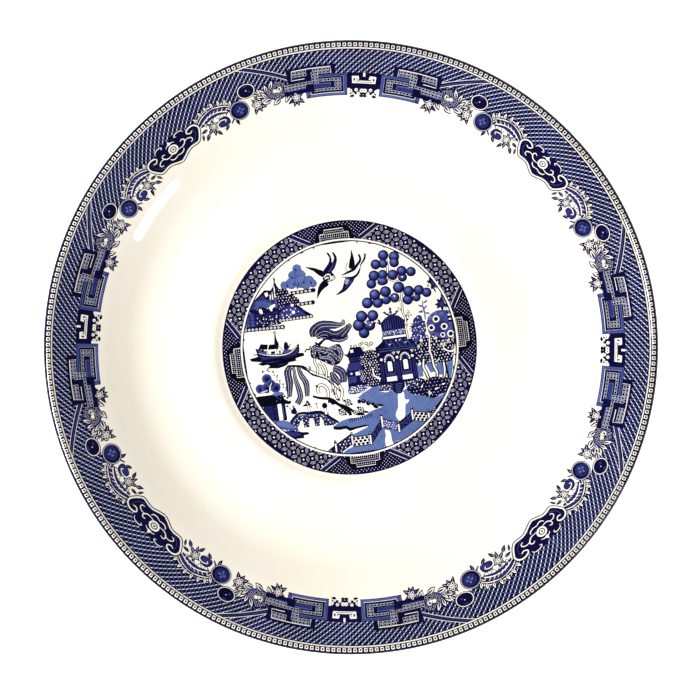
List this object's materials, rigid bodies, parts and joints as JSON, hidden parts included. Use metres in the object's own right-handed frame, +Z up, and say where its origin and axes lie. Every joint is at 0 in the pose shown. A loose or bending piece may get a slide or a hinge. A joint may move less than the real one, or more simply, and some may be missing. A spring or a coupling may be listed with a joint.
{
  "type": "dinner plate",
  "caption": "Deep round earthenware dinner plate with a recessed centre, a foot ring, blue underglaze transfer prints and a clear glaze.",
  "frame": {"origin": "centre of the foot ring, on the plane that the plate stands on", "axes": "+Z up along the plate's axis of revolution; +Y towards the top of the printed scene, +X towards its right"},
  "size_m": [0.267, 0.267, 0.0343],
  "materials": {
    "biscuit": "matte",
    "glaze": "gloss",
    "cobalt_print": "gloss"
  },
  "bodies": {
    "root": {"plate_body": "biscuit", "face_and_back_glaze": "glaze", "base_glaze": "glaze", "medallion_print": "cobalt_print", "border_print_top": "cobalt_print", "border_print_left": "cobalt_print", "border_print_bottom": "cobalt_print", "border_print_right": "cobalt_print"}
  },
  "joints": []
}
